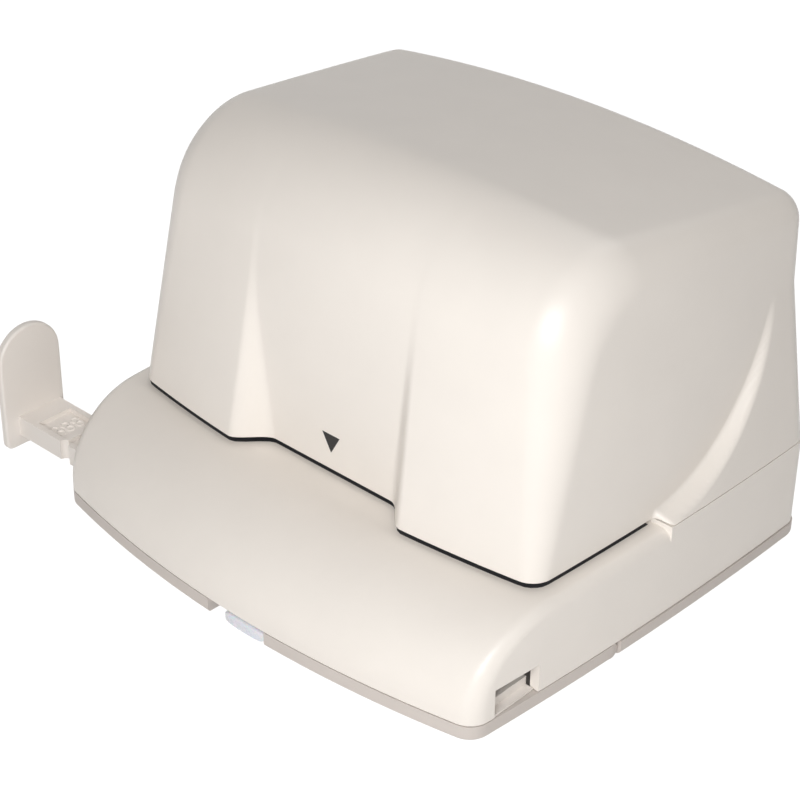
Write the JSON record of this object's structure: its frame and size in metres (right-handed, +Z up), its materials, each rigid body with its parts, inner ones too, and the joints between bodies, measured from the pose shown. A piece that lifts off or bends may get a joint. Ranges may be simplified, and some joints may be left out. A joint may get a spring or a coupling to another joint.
{
  "type": "electric hole punch",
  "caption": "Electric two-hole desk punch with a recessed front, a sliding paper guide and a chip tray that swings down.",
  "frame": {"origin": "middle of the rubber rest strip's lower face, on the surface that the punch stands on", "axes": "+X to the right seen from the front, +Y to the back, +Z up; the paper slot opens towards -Y"},
  "size_m": [0.1625, 0.1205, 0.1004],
  "materials": {
    "shell": "satin pearl, fine texture",
    "strip": "satin",
    "guide_plastic": "satin",
    "latch_plastic": "satin, milky",
    "mark": "flat",
    "pads": "matte",
    "hard_steel": "ground",
    "plated_steel": "zinc plated",
    "spring_steel": "drawn wire",
    "screws": "bright",
    "bearing_brass": "turned",
    "gear_plastic": "moulded",
    "inner_plastic": "moulded",
    "cells": "satin",
    "motor_can": "drawn",
    "board": "lacquered",
    "board_parts": "moulded"
  },
  "bodies": {
    "base": {"hood": "shell", "base_housing": "shell", "bottom_cover": "strip", "guide_channel": "guide_plastic", "centre_mark": "mark", "rest_strip": "pads", "rear_feet": "pads", "guide_posts": "hard_steel", "gear_axles": "hard_steel", "hinge_pins": "hard_steel", "trigger_pin": "hard_steel", "die_plate": "plated_steel", "paper_stop": "plated_steel", "chassis_plate": "plated_steel", "left_cheek": "plated_steel", "right_cheek": "plated_steel", "gear_plate": "plated_steel", "return_springs": "spring_steel", "guide_detent": "spring_steel", "battery_contacts": "spring_steel", "case_screws": "screws", "channel_screws": "screws", "frame_screws": "screws", "motor_screws": "screws", "board_screws": "screws", "guide_bushes": "bearing_brass", "shaft_bushes": "bearing_brass", "battery_holder": "inner_plastic", "trigger_bracket": "inner_plastic", "trigger_switch": "inner_plastic", "dc_inlet": "inner_plastic", "board_posts": "inner_plastic", "battery_cells": "cells", "motor": "motor_can", "circuit_board": "board", "board_parts": "board_parts"},
    "guide": {"paper_guide": "guide_plastic"},
    "tray": {"chip_tray": "strip", "tray_feet": "pads", "latch_spring": "spring_steel"},
    "latch": {"tray_latch": "latch_plastic"},
    "door": {"battery_door": "strip"},
    "cams": {"cam_shaft": "hard_steel", "cam_left": "hard_steel", "cam_right": "hard_steel", "cam_gear": "gear_plastic"},
    "first_idler": {"first_idler": "gear_plastic"},
    "second_idler": {"second_idler": "gear_plastic"},
    "rotor": {"motor_shaft": "hard_steel", "motor_pinion": "bearing_brass"},
    "press": {"press_bar": "plated_steel", "punch_pin_left": "hard_steel", "punch_pin_right": "hard_steel", "roller_pins": "hard_steel"},
    "roller_left": {"follower_roller_left": "hard_steel"},
    "roller_right": {"follower_roller_right": "hard_steel"},
    "trigger": {"trigger_lever": "inner_plastic"}
  },
  "joints": [
    {"name": "guide_slide", "type": "slide", "parent": "base", "child": "guide", "axis": [-1, 0, 0], "range_m": [-0.014, 0.0585], "deforming": ["guide_detent"]},
    {"name": "tray_swing", "type": "hinge", "parent": "base", "child": "tray", "pos_m": [0, -0.0088, 0.0027], "axis": [1, 0, 0], "range_deg": [0, 60]},
    {"name": "latch_push", "type": "slide", "parent": "tray", "child": "latch", "axis": [0, 1, 0], "range_m": [0, 0.0015], "stiffness_N_per_m": 200, "springref_m": -0.002, "deforming": ["latch_spring"]},
    {"name": "door_swing", "type": "hinge", "parent": "base", "child": "door", "pos_m": [0, 0.0501, 0.0017], "axis": [1, 0, 0], "range_deg": [0, 100]},
    {"name": "cam_spin", "type": "hinge", "parent": "base", "child": "cams", "pos_m": [0, -0.003, 0.0724], "axis": [1, 0, 0], "range_deg": [0, 270]},
    {"name": "first_idler_spin", "type": "hinge", "parent": "base", "child": "first_idler", "pos_m": [0, 0.01558, 0.06845], "axis": [1, 0, 0], "range_deg": [-586, 1]},
    {"name": "second_idler_spin", "type": "hinge", "parent": "base", "child": "second_idler", "pos_m": [0, 0.03429, 0.06413], "axis": [1, 0, 0], "range_deg": [-1, 1756]},
    {"name": "motor_spin", "type": "hinge", "parent": "base", "child": "rotor", "pos_m": [0, 0.03804, 0.04652], "axis": [1, 0, 0], "range_deg": [-7022, 1]},
    {"name": "press_slide", "type": "slide", "parent": "base", "child": "press", "axis": [0, 0, -1], "range_m": [0, 0.00601], "deforming": ["return_springs"]},
    {"name": "left_roller_spin", "type": "hinge", "parent": "press", "child": "roller_left", "pos_m": [-0.03, -0.003, 0.0634], "axis": [1, 0, 0], "continuous": true},
    {"name": "right_roller_spin", "type": "hinge", "parent": "press", "child": "roller_right", "pos_m": [0.03, -0.003, 0.0634], "axis": [1, 0, 0], "continuous": true},
    {"name": "trigger_swing", "type": "hinge", "parent": "base", "child": "trigger", "pos_m": [0, -0.0095, 0.036], "axis": [1, 0, 0], "range_deg": [0, 10], "stiffness_Nm_per_rad": 0.003, "springref_deg": -11.46}
  ],
  "couplings": [
    {"joint": "first_idler_spin", "follows": "cam_spin", "ratio": -2.1667},
    {"joint": "second_idler_spin", "follows": "cam_spin", "ratio": 6.5},
    {"joint": "motor_spin", "follows": "cam_spin", "ratio": -26},
    {"joint": "press_slide", "follows": "cam_spin", "m_per_rad": 0.0012732}
  ]
}
